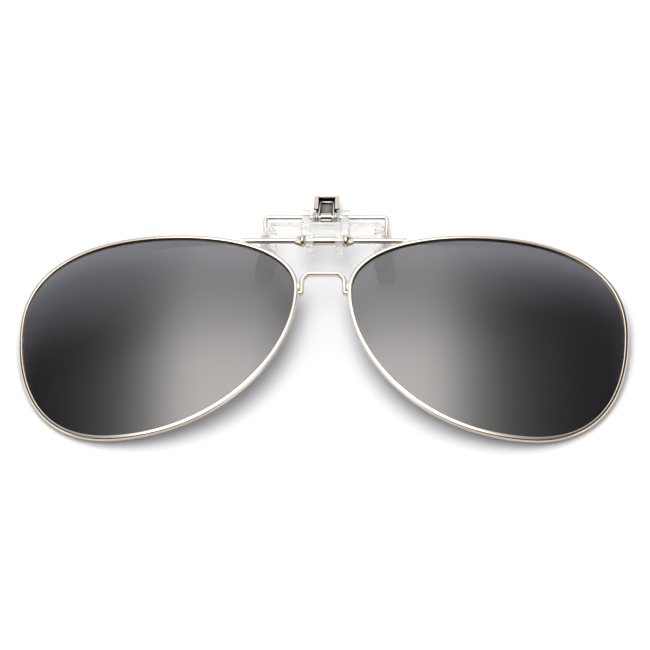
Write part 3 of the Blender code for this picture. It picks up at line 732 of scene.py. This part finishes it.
def make_grip_wire():
    """The U-shaped spring wire that turns in the rear ears."""
    path = list(reversed(grip_arm(-1))) + grip_arm(1)
    bends = [0.0, *reversed(GRIP_BENDS), *GRIP_BENDS, 0.0]
    grip = wire("grip_wire_bent", fillet(path, bends), GRIP_RADIUS)
    finish_piece(grip, CHROME, "grip_lever", "grip_wire")


def spring_half(side):
    """Half of the torsion spring: from its leg on the beam through its coil to the middle of its loop."""
    rest_y = WING_HIGH_Y + SPRING_WIRE_RADIUS + SPRING_REST_GAP
    path = [Vector((side * SPRING_OUTER_X, rest_y + up, z)) for up, z in SPRING_LEG]
    steps = SPRING_TURNS * SPRING_TURN_STEPS
    for step in range(steps + 1):
        angle = math.pi / 2.0 - 2.0 * math.pi * step / SPRING_TURN_STEPS
        x = SPRING_OUTER_X + (SPRING_INNER_X - SPRING_OUTER_X) * step / steps
        across = SPRING_COIL_RADIUS * math.cos(angle)
        depth = SPRING_COIL_RADIUS * math.sin(angle)
        path.append(Vector((side * x, GRIP_AXIS.y + across, GRIP_AXIS.z + depth)))
    lean = Matrix.Rotation(-TAB_LEAN, 3, "X")
    for x, y, z in SPRING_LOOP:
        path.append(lean @ Vector((side * x, y, z)) + GRIP_AXIS)
    return path


def make_spring():
    """The double torsion spring: its loop leans with the tab, and its two legs rest on the beam."""
    path = spring_half(-1) + list(reversed(spring_half(1)[:-1]))
    spring = wire("torsion_spring_wound", path, SPRING_WIRE_RADIUS, SPRING_WIRE_STEPS)
    finish_piece(spring, SPRING_STEEL, None, "torsion_spring")
    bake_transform(spring)


def finish_beads():
    """The solder beads and the tab's weld keep their CAD shape, under their own material."""
    nodes = [held + "_solder_" + side for held in ("rod", "bridge") for side in ("left", "right")]
    for node in nodes + ["tab_weld"]:
        bead = frame["nodes"][node]
        bead.data.materials.clear()
        bead.data.materials.append(SOLDER)


# ---------------------------------------------------------------- studio


def along(tree, direction, axis):
    """How far a direction points along an axis, from -1 to 1."""
    node = add_node(tree, "ShaderNodeVectorMath", i0=direction)
    node.operation = "DOT_PRODUCT"
    node.inputs[1].default_value = axis
    return node.outputs["Value"]


def eased(tree, value, start, end):
    """0 before the start and 1 after the end, smooth between; the start may be above the end."""
    node = add_node(tree, "ShaderNodeMapRange", Value=value)
    node.interpolation_type = "SMOOTHSTEP"
    node.inputs["From Min"].default_value = start
    node.inputs["From Max"].default_value = end
    return node.outputs[0]


def soft_glow(tree, value, centre, half_width, steepness):
    """1 at the centre, a half at the half width, and a long soft tail beyond."""
    distance = math_node(tree, "ABSOLUTE", math_node(tree, "SUBTRACT", value, centre))
    spread = math_node(tree, "POWER", math_node(tree, "DIVIDE", distance, half_width), steepness)
    return math_node(tree, "DIVIDE", 1.0, math_node(tree, "ADD", spread, 1.0))


def make_lamp():
    """A broad diffuser over the glasses, brightest a little to the left of their middle."""
    depth = LAMP_REAR - LAMP_FRONT
    data = bpy.data.lights.new("lamp", "AREA")
    data.shape = "RECTANGLE"
    data.size = LAMP_WIDTH
    data.size_y = depth
    data.energy = LAMP_RADIANCE * WATTS_PER_RADIANCE * LAMP_WIDTH * depth
    data.color = LAMP_COLOR
    data.use_nodes = True
    tree = data.node_tree
    place = tree.nodes.new("ShaderNodeNewGeometry").outputs["Parametric"]
    parts = add_node(tree, "ShaderNodeSeparateXYZ", Vector=place)
    across_half, along_half = LAMP_HALF_GLOW
    across_steepness, along_steepness = LAMP_STEEPNESS
    across = soft_glow(tree, parts.outputs["X"], 0.5, across_half / LAMP_WIDTH, across_steepness)
    middle = -LAMP_FRONT / depth
    lengthwise = soft_glow(tree, parts.outputs["Y"], middle, along_half / depth, along_steepness)
    glow = math_node(tree, "MULTIPLY", across, lengthwise)
    tree.links.new(glow, tree.nodes["Emission"].inputs["Strength"])
    lamp = new_object("lamp", data)
    lamp.location = (LAMP_CENTRE_X, (LAMP_FRONT + LAMP_REAR) / 2.0, LAMP_HEIGHT)
    lamp.visible_camera = False


def make_world():
    """The rest of the studio: a pale bank and low backlight behind, soft sides and fills, a dark front."""
    world = bpy.data.worlds.new("studio")
    bpy.context.scene.world = world
    world.use_nodes = True
    tree = world.node_tree
    direction = tree.nodes.new("ShaderNodeTexCoord").outputs["Generated"]
    sideways = math_node(tree, "ABSOLUTE", along(tree, direction, (1.0, 0.0, 0.0)))
    rearward = along(tree, direction, (0.0, 1.0, 0.0))
    banked = along(tree, direction, BANK_AXIS)
    front_third = eased(tree, rearward, *FRONT_EDGE)
    off_centre = eased(tree, sideways, *FILL_EDGE)
    layers = (
        (eased(tree, banked, *BANK_EDGE), BANK_LIGHT),
        (eased(tree, rearward, *BACK_EDGE), BACK_LIGHT),
        (eased(tree, sideways, *SIDE_EDGE), SIDE_LIGHT),
        (math_node(tree, "MULTIPLY", front_third, off_centre), FILL_LIGHT),
        (front_third, FRONT_LIGHT),
    )
    total = AMBIENT_LIGHT
    for share, color in layers:
        part = mixed(tree, share, (0.0, 0.0, 0.0), color)
        added = add_node(tree, "ShaderNodeVectorMath", i0=total, i1=part)
        added.operation = "ADD"
        total = added.outputs[0]
    tree.links.new(total, tree.nodes["Background"].inputs["Color"])


def make_floor():
    """A plain white table top."""
    bpy.ops.mesh.primitive_plane_add(size=FLOOR_SIZE)
    floor = bpy.context.object
    floor.name = "floor"
    material, _, shader = shader_of("floor_white")
    shader.inputs["Base Color"].default_value = (*FLOOR_TONE, 1.0)
    shader.inputs["Roughness"].default_value = FLOOR_ROUGHNESS
    shader.inputs["Specular IOR Level"].default_value = FLOOR_GLOSS
    floor.data.materials.append(material)


def make_camera():
    """A long lens in front of and above the glasses, turned a little to their right."""
    data = bpy.data.cameras.new("camera")
    data.sensor_width = CAMERA_SENSOR
    data.lens = CAMERA_LENS
    data.clip_start, data.clip_end = CAMERA_CLIP
    camera = new_object("camera", data)
    bpy.context.scene.camera = camera
    level = Vector((math.cos(CAMERA_RIGHT), 0.0, -math.sin(CAMERA_RIGHT)))
    lowered = Vector((0.0, -math.sin(CAMERA_BELOW), math.cos(CAMERA_BELOW)))
    back = Matrix.Rotation(CAMERA_RIGHT, 3, "Y") @ lowered
    right = Matrix.Rotation(CAMERA_ROLL, 3, back) @ level
    up = back.cross(right)
    place = back * CAMERA_DISTANCE
    back = (place - right * CAMERA_AIM.x - up * CAMERA_AIM.y).normalized()
    right = (right - back * right.dot(back)).normalized()
    turn = Matrix((right, back.cross(right), back)).transposed()
    camera.matrix_world = Matrix.Translation(CLIP @ place) @ (CLIP.to_3x3().normalized() @ turn).to_4x4()


def set_view():
    """Plain tones, so that the white table comes out white."""
    bpy.context.scene.view_settings.view_transform = "Standard"


make_rims()
make_lenses()
make_bridge()
make_rod()
make_spacer_tube()
make_collars()
make_clip_base()
make_grip_wire()
make_paddles()
make_tab()
make_spring()
finish_beads()
make_lamp()
make_world()
make_floor()
make_camera()
set_view()
